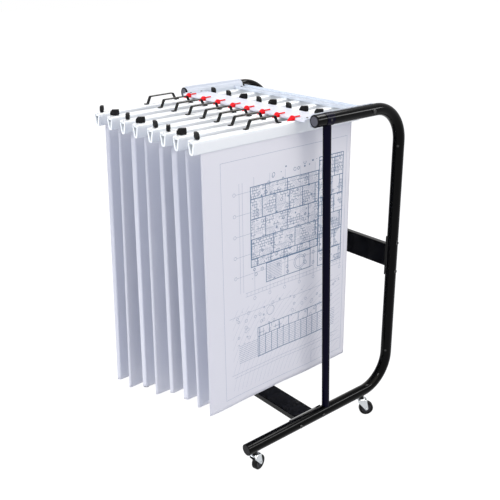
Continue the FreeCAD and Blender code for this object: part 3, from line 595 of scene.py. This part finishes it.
def clampPlace(number):
    # own frame of a clamp: origin at its hook on the clamp's top, Y towards its rear end
    pivot = Vector(joints[f"clamp_swing_{number}"]["pos_m"])
    ahead = Vector(joints[f"front_knob_turn_{number}"]["pos_m"])
    behind = Vector(joints[f"rear_knob_turn_{number}"]["pos_m"])
    along = (behind - ahead).normalized()
    turn = Matrix((along.cross(Vector((0, 0, 1))), along, Vector((0, 0, 1)))).transposed().to_4x4()
    return Matrix.Translation(pivot) @ turn


def extrusion(outline, start, end, chamfer):
    # outline of (across, up) points pushed along Y, its end sections pulled in by the chamfer
    ahead = np.roll(outline, -1, axis=0) - outline
    ahead /= np.linalg.norm(ahead, axis=1, keepdims=True)
    normal = np.stack([ahead[:, 1], -ahead[:, 0]], axis=1)
    normal = normal + np.roll(normal, 1, axis=0)
    normal /= np.linalg.norm(normal, axis=1, keepdims=True)
    area = np.sum(outline[:, 0] * np.roll(outline[:, 1], -1) - outline[:, 1] * np.roll(outline[:, 0], -1))
    inner = outline - normal * chamfer * np.sign(area)
    rows = [(start, inner), (start + chamfer, outline), (end - chamfer, outline), (end, inner)]
    sections = [np.column_stack([line[:, 0], np.full(len(line), y), line[:, 1]]) for y, line in rows]
    return tubeMesh(np.stack(sections))


def arcPoints(centre, radius, fromAngle, toAngle, steps):
    # points on a circle between two angles in degrees
    t = np.radians(np.linspace(fromAngle, toAngle, steps))
    return np.column_stack([centre[0] + radius * np.cos(t), centre[1] + radius * np.sin(t)])


def beadCentre():
    return (-jaw["half"] + jaw["hinge"], -jaw["topWall"] + jaw["bead"])


def jawOutlines():
    # fixed jaw with the top wall and its bead groove, then the moving jaw with its bead;
    # across to +X and up from the clamp's top
    half, lip, slit, wall, corner = jaw["half"], jaw["lip"], jaw["slit"], jaw["wall"], jaw["corner"]
    low, lipTop = -jaw["height"], -jaw["height"] + jaw["lipHeight"]
    shoulder = -jaw["height"] + jaw["shoulder"]
    inside, under = half - wall, -jaw["topWall"]
    bead, room = beadCentre(), jaw["bead"] + jaw["beadGap"]
    grooveStart, grooveEnd, grooveDepth = jaw["groove"]
    outside = roundCorners([(slit, low), (lip, low), (half, shoulder), (half, -corner)],
                           [0, jaw["lipCorner"], jaw["shoulderBend"], 0], 10, closed=False)
    crown = arcPoints((half - corner, -corner), corner, 0, 90, 10)[1:]
    groove = np.array([(grooveEnd, 0), (grooveEnd, -grooveDepth),
                       (grooveStart, -grooveDepth), (grooveStart, 0)])
    farCrown = arcPoints((-half + corner, -corner), corner, 90, 180, 10)
    roof = np.array([(-half, bead[1] + jaw["beadGap"])])
    fromAngle = 180 - math.degrees(math.asin(jaw["beadGap"] / room))
    toAngle = math.degrees(math.asin((under - bead[1]) / room))
    groovedBead = arcPoints(bead, room, fromAngle, toAngle, 22)
    foot = jaw["hollowFoot"]
    hollow = roundCorners([(inside, under), (inside, shoulder), (foot, lipTop)],
                          [0, jaw["hollowBend"], 0], 8, closed=False)
    hollow = np.concatenate([hollow, [(slit, lipTop)]])
    fixed = np.concatenate([outside, crown, groove, farCrown, roof, groovedBead, hollow])
    left = [-1, 1]
    flank = roundCorners([(half, bead[1]), (half, shoulder), (lip, low), (slit, low)],
                         [0, jaw["shoulderBend"], jaw["lipCorner"], 0], 10, closed=False)
    moving = np.concatenate([hollow[::-1] * left, arcPoints(bead, jaw["bead"], -90, 180, 24), flank * left])
    return fixed, moving


def hookMesh():
    # lofted along Y: width, underside and top are read at each station, every section is a
    # superellipse; the underside steps up at the lip that catches the rail's front edge
    lip = hook["lip"]
    stations = np.array([
        # y, half width, underside, top
        (hook["tip"], 0.6 * hook["tipHalf"], 0, 1.6 * mm),
        (hook["tip"] + 1 * mm, hook["tipHalf"], 0, 2.6 * mm),
        (-20 * mm, 0.58 * hook["headHalf"], 0, 0.56 * hook["crown"]),
        (-13 * mm, 0.84 * hook["headHalf"], 0, 0.92 * hook["crown"]),
        (-10 * mm, 0.94 * hook["headHalf"], 0, hook["crown"]),
        (lip - 0.4 * mm, hook["headHalf"], 0, hook["crown"]),
        (lip, 0.97 * hook["headHalf"], 0.2 * mm, 0.99 * hook["crown"]),
        (lip + 0.1 * mm, 0.97 * hook["headHalf"], hook["tailLow"], 0.98 * hook["crown"]),
        (lip + 3 * mm, hook["tailHalf"] * 1.1, hook["tailLow"], 0.86 * hook["crown"]),
        (lip + 7 * mm, hook["tailHalf"], hook["tailLow"], hook["tailHigh"]),
        (hook["end"] - 2 * mm, hook["tailHalf"], hook["tailLow"], hook["tailHigh"]),
        (hook["end"] - 0.4 * mm, hook["tailHalf"] * 0.8, hook["tailLow"], hook["tailHigh"]),
        (hook["end"], hook["tailHalf"] * 0.5, hook["tailLow"] + 0.5 * mm, hook["tailHigh"] - 0.5 * mm)])
    turn = np.linspace(0, 2 * math.pi, 28, endpoint=False)
    power = 2 / 4.5
    across = np.sign(np.cos(turn)) * np.abs(np.cos(turn)) ** power
    upward = np.sign(np.sin(turn)) * np.abs(np.sin(turn)) ** power
    y, half, low, high = (stations[:, i:i + 1] for i in range(4))
    # the head is narrower at its crown
    taper = 1 - 0.28 * np.clip(upward, 0, 1)
    x = half * across * taper
    z = (low + high) / 2 + (high - low) / 2 * upward
    return tubeMesh(np.stack([x, np.broadcast_to(y, x.shape), z], axis=-1))


def handleMesh():
    # flat strap swept along a bent centre line: foot, leaning leg, top, leg, foot. Each section is
    # the strap's rounded rectangle, its thickness laid along the line's normal
    front, rear, foot, lean = handle["front"], handle["rear"], handle["foot"], handle["lean"]
    low, top = handle["thickness"] / 2, handle["rise"]
    corners = [(front, low), (front + foot, low), (front + foot + lean, top),
               (rear - foot - lean, top), (rear - foot, low), (rear, low)]
    line = roundCorners(corners, [0, handle["footBend"], handle["bend"], handle["bend"],
                                  handle["footBend"], 0], 7, closed=False)
    tangent = np.gradient(line, axis=0)
    tangent /= np.linalg.norm(tangent, axis=1, keepdims=True)
    normal = np.column_stack([-tangent[:, 1], tangent[:, 0]])
    halfWidth, halfThick = handle["width"] / 2, handle["thickness"] / 2
    section = roundCorners([(-halfWidth, -halfThick), (halfWidth, -halfThick),
                            (halfWidth, halfThick), (-halfWidth, halfThick)], [handle["edge"]] * 4, 4)
    x = np.broadcast_to(section[:, 0], (len(line), len(section)))
    y = line[:, :1] + normal[:, :1] * section[:, 1]
    z = line[:, 1:] + normal[:, 1:] * section[:, 1]
    return tubeMesh(np.stack([x, y, z], axis=-1))


def knobMesh():
    # wing along Y on a round base: x = b (1 - |y / a|^n)^(1 / n), with flutes cut into its long
    # faces and a slanted corner over its front end, over the stem and the cam that spreads the jaws
    steps = 72
    theta = np.linspace(0, math.pi, steps, endpoint=False)
    y = np.concatenate([np.cos(theta), -np.cos(theta)])
    x = (1 - np.abs(y) ** knob["power"]) ** (1 / knob["power"]) * np.repeat([-1, 1], steps)
    x, y = x * knob["halfThick"], y * knob["halfLong"]
    onFace = np.clip((knob["ribReach"] - np.abs(y)) / knob["ribFade"], 0, 1)
    flute = onFace * (0.5 + 0.5 * np.cos(2 * math.pi * y / knob["ribPitch"])) * knob["ribDepth"]
    seat, height = knob["seat"], knob["height"]
    lower = np.clip(knob["cut"] - (y + knob["halfLong"]), 0, None) / height
    # height, then the shares of the wing's length, thickness and flute depth there
    rows = [(1.2 * mm, 0.90, 0.80, 0), (2.6 * mm, 0.93, 0.86, 0), (4 * mm, 0.98, 0.96, 0.6),
            (7 * mm, 1, 1, 1), (height - 4 * mm, 0.99, 0.97, 1), (height - 2.2 * mm, 0.98, 0.94, 0.8),
            (height - 0.9 * mm, 0.965, 0.88, 0.3), (height - 0.2 * mm, 0.94, 0.78, 0), (height, 0.9, 0.66, 0)]
    sections = [np.column_stack([(x - np.sign(x) * flute * cut) * thick, y * long,
                                 seat + z * (1 - lower * (z > 2 * mm))]) for z, long, thick, cut in rows]
    wing = tubeMesh(np.stack(sections))
    r, h = knob["base"], knob["baseHeight"]
    base = revolve([(r - 0.5 * mm, seat), (r, seat + 0.5 * mm), (r, seat + h - 0.8 * mm),
                    (r - 0.8 * mm, seat + h)])
    stem = revolve([(knob["stem"], knob["camTop"] - 0.5 * mm), (knob["stem"], seat + 0.5 * mm)], 32)
    camLow = knob["camTop"] - knob["camHeight"]
    cam = revolve([(0.92, camLow), (1, camLow + 0.5 * mm), (1, knob["camTop"] - 0.5 * mm),
                   (0.92, knob["camTop"])], 40)
    cam[0][:, 0] *= knob["camLong"]
    cam[0][:, 1] *= knob["camShort"]
    return joinMeshes([wing, base, stem, cam])


def boreShadeMesh():
    # painted shade: a black plug just inside each end of the clamp stands in for the dark bore of the hinge
    # bead
    line = arcPoints(beadCentre(), jaw["pinHole"], 0, 345, 24)
    proud, depth = jaw["plugProud"], jaw["plugDepth"]
    ends = ((-jaw["ahead"] - proud, -jaw["ahead"] + depth), (jaw["behind"] - depth, jaw["behind"] + proud))
    return joinMeshes([extrusion(line, start, end, 0.01 * mm) for start, end in ends])


def makeClamps():
    fixed, moving = jawOutlines()
    jawParts = [extrusion(line, -jaw["ahead"], jaw["behind"], jaw["endChamfer"])
                for line in (fixed, moving)]
    hookPart, handlePart, knobPart, boreShadePart = hookMesh(), handleMesh(), knobMesh(), boreShadeMesh()
    for number in range(1, rackSlots + 1):
        place = clampPlace(number)
        body = f"clamp_{number}"
        points, faces = joinMeshes(jawParts)
        rail = meshPiece(f"clampJaws{number}", turned(points, place), faces, extrudedSilver, 40)
        finishPiece(rail, body, "clamp_aluminium", f"clamp_rail_{number}")
        # a black plug as painted shade for the hinge bead's bore
        bore = meshPiece(f"clampBoreShade{number}", turned(boreShadePart[0], place), boreShadePart[1], blackHandle, 40)
        finishPiece(bore, body, "clamp_aluminium", f"clamp_rail_{number}")
        catch = meshPiece(f"clampHook{number}", turned(hookPart[0], place), hookPart[1], redSteel, 50)
        finishPiece(catch, body, "hook_red", f"clamp_rail_{number}")
        strap = meshPiece(f"clampHandle{number}", turned(handlePart[0], place), handlePart[1],
                          blackHandle, 50)
        finishPiece(strap, body, "handle_plastic", f"clamp_handle_{number}")
        for end in ("front", "rear"):
            nodeName = f"{end}_knob_{number}"
            seat = Vector(joints[f"{end}_knob_turn_{number}"]["pos_m"])
            turn = math.radians(knob[end + "Turns"][number - 1])
            stand = Matrix.Translation(seat) @ place.to_3x3().to_4x4() @ Matrix.Rotation(turn, 4, "Z")
            wing = meshPiece(f"{end}WingKnob{number}", turned(knobPart[0], stand), knobPart[1],
                             knobBlack, 42)
            finishPiece(wing, nodeName, "knob_plastic", nodeName)


# hung drawings
drawing = {"width": 594 * mm, "ahead": 345.5 * mm, "grip": 20 * mm, "kinkDrop": 1 * mm,
           "release": 30 * mm, "thick": 0.35 * mm, "bend": 6 * mm,
           # points of the grid, closer together in the bend and just below the clamp
           "bendColumns": 56, "flatColumns": 100, "topRows": 25, "rows": 64, "topDepth": 60 * mm,
           # height of the sway, its two wavelengths, how far each shifts from clamp to clamp, the
           # share of the second wave, and what is there of sway and curl at the top of the sheet
           "wave": 1.6 * mm, "wavelengths": (410 * mm, 170 * mm), "shifts": (1.7, 3.9),
           "secondWave": 0.45, "swayAtTop": 0.4, "curlAtTop": 0.72, "curlGain": 0.38,
           # cut length, lean of the bottom edge to the right and turn in its own plane, one for each clamp
           "shapes": ((950, -18.5, 1.5), (944, -18.0, 1.45), (906, -7.0, 1.15), (897, -3.5, 1.05),
                      (858, -5.0, 0.55), (853, -1.0, 0.0), (843, 6.5, -0.1), (838, 3.5, 0.15)),
           # width and turn of the front margin that curls away, one pair for each clamp
           "curl": ((9, 50), (4, 46), (10, 56), (4, 48), (8, 54), (12, 58), (4, 50), (3, 18))}


def sheetMesh(number):
    # u runs back along the sheet and v down it. Each row is a line of heading a(u): a is the turn
    # of the front margin, eased to 0 over the bend, so x = -integral of sin a and
    # along = -integral of cos a from the rear edge. The turn grows below the clamp as a smooth step,
    # and two slow sine waves give the paper its sway. The whole is then turned by t in its plane,
    # y = along cos t - v sin t and z = -along sin t - v cos t, and leans to the right below the kink.
    length, lean, tilt = drawing["shapes"][number - 1]
    length, lean, tilt = length * mm, lean * mm, math.radians(tilt)
    margin, turn = drawing["curl"][number - 1]
    margin, turn = margin * mm, math.radians(turn)
    bendEnd = margin + drawing["bend"]
    u = np.concatenate([np.linspace(0, 1.5 * bendEnd, drawing["bendColumns"])[:-1],
                        np.linspace(1.5 * bendEnd, drawing["width"], drawing["flatColumns"])])
    v = np.concatenate([np.linspace(0, drawing["topDepth"], drawing["topRows"])[:-1],
                        np.linspace(drawing["topDepth"], length, drawing["rows"])])
    fall = np.clip((v - drawing["grip"] - drawing["kinkDrop"]) / drawing["release"], 0, 1)
    fall = fall * fall * (3 - 2 * fall)
    grow = fall * (drawing["curlAtTop"] + drawing["curlGain"] * v / length)
    middle = (u[1:] + u[:-1]) / 2
    heading = turn * grow[:, None] * np.clip((bendEnd - middle) / drawing["bend"], 0, 1)
    step = np.diff(u)
    side = np.cumsum((np.sin(heading) * step)[:, ::-1], axis=1)[:, ::-1]
    back = np.cumsum((np.cos(heading) * step)[:, ::-1], axis=1)[:, ::-1]
    x = -np.pad(side, ((0, 0), (0, 1)))
    along = drawing["width"] / 2 - np.pad(back, ((0, 0), (0, 1)))
    first, second = (np.sin(2 * math.pi * u / wavelength + shift * number)
                     for wavelength, shift in zip(drawing["wavelengths"], drawing["shifts"]))
    swayed = fall * (drawing["swayAtTop"] + (1 - drawing["swayAtTop"]) * v / length)
    x = x + drawing["wave"] * swayed[:, None] * (first + drawing["secondWave"] * second)
    top, kink = drawing["grip"] - jaw["height"], -jaw["height"] - drawing["kinkDrop"]
    y = drawing["width"] / 2 - drawing["ahead"] + along * math.cos(tilt) - v[:, None] * math.sin(tilt)
    z = top - along * math.sin(tilt) - v[:, None] * math.cos(tilt)
    x = x + lean * np.clip((kink - z) / (kink - top + length), 0, None)
    # quads wound so that the printed side faces +X
    faces = [face[::-1] for face in gridFaces(len(v), len(u), False, False)]
    return np.stack([x, y, z], axis=-1).reshape(-1, 3), faces, u, v, length


def makeSheets():
    for number in range(1, rackSlots + 1):
        nodeName = f"plan_sheet_{number}"
        points, faces, u, v, length = sheetMesh(number)
        sheet = meshPiece(f"planSheet{number}", turned(points, clampPlace(number)), faces,
                          printedPaper, 180)
        sheet.data.materials.append(plainPaper)
        layer = sheet.data.uv_layers.new(name="paperUV")
        # the paper's own map: metres across and down from its front top corner
        across, down = np.meshgrid(u, v)
        loopVertex = np.zeros(len(sheet.data.loops), int)
        sheet.data.loops.foreach_get("vertex_index", loopVertex)
        layer.uv.foreach_set("vector", np.column_stack([across.ravel(), down.ravel()])[loopVertex].ravel())
        solid = sheet.modifiers.new("paperThickness", "SOLIDIFY")
        solid.thickness = drawing["thick"]
        solid.offset = 0
        solid.material_offset = 1
        solid.material_offset_rim = 1
        finishPiece(sheet, f"clamp_{number}", "paper", nodeName)


# castors
castor = {"corners": ("left_front", "left_rear", "right_front", "right_rear"),
          "wheelRadius": 25 * mm, "wheelHalf": 9.5 * mm, "cheekIn": 10.5 * mm, "cheekOut": 12.5 * mm,
          "crownLow": 59 * mm, "crownTop": 62 * mm, "raceTop": 65 * mm, "pinTop": 87 * mm, "trail": 18 * mm,
          "boss": 6.5 * mm, "race": 13 * mm, "raceBore": 8 * mm, "pin": 4.5 * mm, "axle": 3 * mm,
          "head": 4.5 * mm, "headRise": 1.5 * mm, "tyreInner": 17 * mm, "tyreEdge": 4 * mm,
          "rimInner": 15.5 * mm, "webInner": 9.6 * mm, "webDepth": 3 * mm, "hubBoss": 9 * mm,
          "boreGap": 0.08 * mm}


def ringMesh(profile, steps=56):
    # a closed (radius, place) loop turned about X, with no axis inside it
    profile = np.array(profile, float)
    turn = np.linspace(0, 2 * math.pi, steps, endpoint=False)
    y = profile[:, :1] * np.cos(turn)
    z = profile[:, :1] * np.sin(turn)
    x = np.repeat(profile[:, 1:], steps, axis=1)
    return np.stack([x, y, z], axis=-1).reshape(-1, 3), gridFaces(len(profile), steps, True, True)


def alongX(part):
    # a piece of revolution about Z laid along X
    points, faces = part
    return points[:, [2, 0, 1]], faces


def cheekMesh(side):
    # three-cornered plate from the crown to the axle: each ring is the outline drawn in towards its
    # middle by a share, and the last ring is pressed in
    half, trail, boss, axle = (castor[key] for key in ("race", "trail", "boss", "wheelRadius"))
    outline = roundCorners([(-half, castor["crownLow"] + 1 * mm), (-half, castor["crownLow"] - 5 * mm),
                            (trail - boss, axle), (trail, axle - boss), (trail + boss, axle),
                            (half + trail / 3, castor["crownLow"] - 5 * mm),
                            (half + trail / 3, castor["crownLow"] + 1 * mm)],
                           [1 * mm, 4 * mm, 5 * mm, 6 * mm, 5 * mm, 4 * mm, 1 * mm], 5)
    middle = outline.mean(axis=0)
    rows = []
    face = castor["cheekOut"]
    for x, share in ((castor["cheekIn"], 1.0), (face - 0.3 * mm, 1.0), (face, 0.985), (face, 0.80),
                     (face - 0.9 * mm, 0.70)):
        ring = middle + (outline - middle) * share
        rows.append(np.column_stack([np.full(len(ring), side * x), ring[:, 0], ring[:, 1]]))
    return tubeMesh(np.stack(rows))


def forkMesh():
    # crown plate, race and swivel pin over two cheeks; the plate is its rounded outline at each
    # height, drawn in by a share at its edges
    crown = roundCorners([(-castor["cheekOut"], -castor["race"]), (castor["cheekOut"], -castor["race"]),
                          (castor["cheekOut"], castor["race"] + castor["trail"] / 3),
                          (-castor["cheekOut"], castor["race"] + castor["trail"] / 3)],
                         [6 * mm] * 4, 6)
    rows = [(castor["crownLow"], 0.96), (castor["crownLow"] + 0.5 * mm, 1),
            (castor["crownTop"] - 0.8 * mm, 1), (castor["crownTop"], 0.94)]
    plate = tubeMesh(np.stack([np.column_stack([crown * share, np.full(len(crown), z)])
                               for z, share in rows]))
    race = revolve([(castor["race"] - 0.6 * mm, castor["crownTop"] - 0.5 * mm),
                    (castor["race"], castor["crownTop"] + 0.4 * mm),
                    (castor["race"], castor["raceTop"] - 1.2 * mm),
                    (castor["race"] - 1.4 * mm, castor["raceTop"]), (castor["raceBore"], castor["raceTop"])])
    pin = revolve([(castor["pin"], castor["raceTop"] - 0.5 * mm), (castor["pin"], castor["pinTop"] - 1 * mm),
                   (castor["pin"] - 1 * mm, castor["pinTop"])], 32)
    return joinMeshes([plate, race, pin, cheekMesh(-1), cheekMesh(1)])


def axleMesh():
    # plain pin with a domed head on one side and a hexagon nut on the other
    out = castor["cheekOut"]
    head, headRise, overlap = castor["head"], castor["headRise"], 0.2 * mm
    pin = alongX(revolve([(castor["axle"], -out), (castor["axle"], out)], 32))
    dome = alongX(revolve([(head, out - overlap), (head, out + 0.4 * headRise),
                           (head * 0.8, out + headRise - overlap), (head * 0.4, out + headRise)], 32))
    nut = alongX(revolve([(head, -out - headRise), (head, -out + overlap)], 6))
    points, faces = joinMeshes([pin, dome, nut])
    return points + [0, castor["trail"], castor["wheelRadius"]], faces


def wheelMeshes():
    # tyre: a rounded tread over straight sides; hub: a dished web between rim and boss
    radius, half, inner, rim = (castor[key] for key in ("wheelRadius", "wheelHalf", "tyreInner", "rimInner"))
    right = roundCorners([(radius, 0), (radius, half), (inner, half), (inner, 0)],
                         [0, castor["tyreEdge"], 0.6 * mm, 0], 8, False)
    tyre = ringMesh(np.concatenate([right, (right * [1, -1])[-2:0:-1]]))
    bore, seat, shelf = castor["axle"] + castor["boreGap"], inner - 0.02 * mm, half - 0.6 * mm
    web = half - castor["webDepth"]
    right = roundCorners([(seat, 0), (seat, shelf), (rim, shelf), (rim - 0.5 * mm, web),
                          (castor["webInner"], web), (castor["hubBoss"], half), (bore, half), (bore, 0)],
                         [0, 0.4 * mm, 0.4 * mm, 1 * mm, 1 * mm, 0.6 * mm, 0.3 * mm, 0], 5, False)
    hub = ringMesh(np.concatenate([right, (right * [1, -1])[-2:0:-1]]))
    centre = np.array([0, castor["trail"], radius])
    return [(points + centre, faces) for points, faces in (tyre, hub)]


def makeCastors():
    fork, axle, wheel = forkMesh(), axleMesh(), wheelMeshes()
    for corner in castor["corners"]:
        swivel = Vector(joints[f"castor_swivel_{corner}"]["pos_m"])
        axis = Vector(joints[f"wheel_spin_{corner}"]["axis"])
        stand = Matrix((axis, Vector((0, 0, 1)).cross(axis), Vector((0, 0, 1)))).transposed().to_4x4()
        stand = Matrix.Translation((swivel.x, swivel.y, 0)) @ stand
        where = "".join(word.capitalize() for word in corner.split("_"))
        for label, (points, faces), finish, body, slotName, nodeName in (
                ("Fork", fork, zincFork, f"castor_{corner}", "fork_zinc", f"castor_fork_{corner}"),
                ("Axle", axle, zincFork, f"castor_{corner}", "fork_zinc", f"castor_fork_{corner}"),
                ("Tyre", wheel[0], tyreRubber, f"wheel_{corner}", "wheel_rubber", f"castor_wheel_{corner}"),
                ("Hub", wheel[1], hubNylon, f"wheel_{corner}", "wheel_rubber", f"castor_wheel_{corner}")):
            piece = meshPiece(f"castor{label}{where}", turned(points, stand), faces, finish, 40)
            finishPiece(piece, body, slotName, nodeName)


makeClamps()
print("clamps dressed")
makeSheets()
print("drawings hung")
makeCastors()
print("castors fitted")
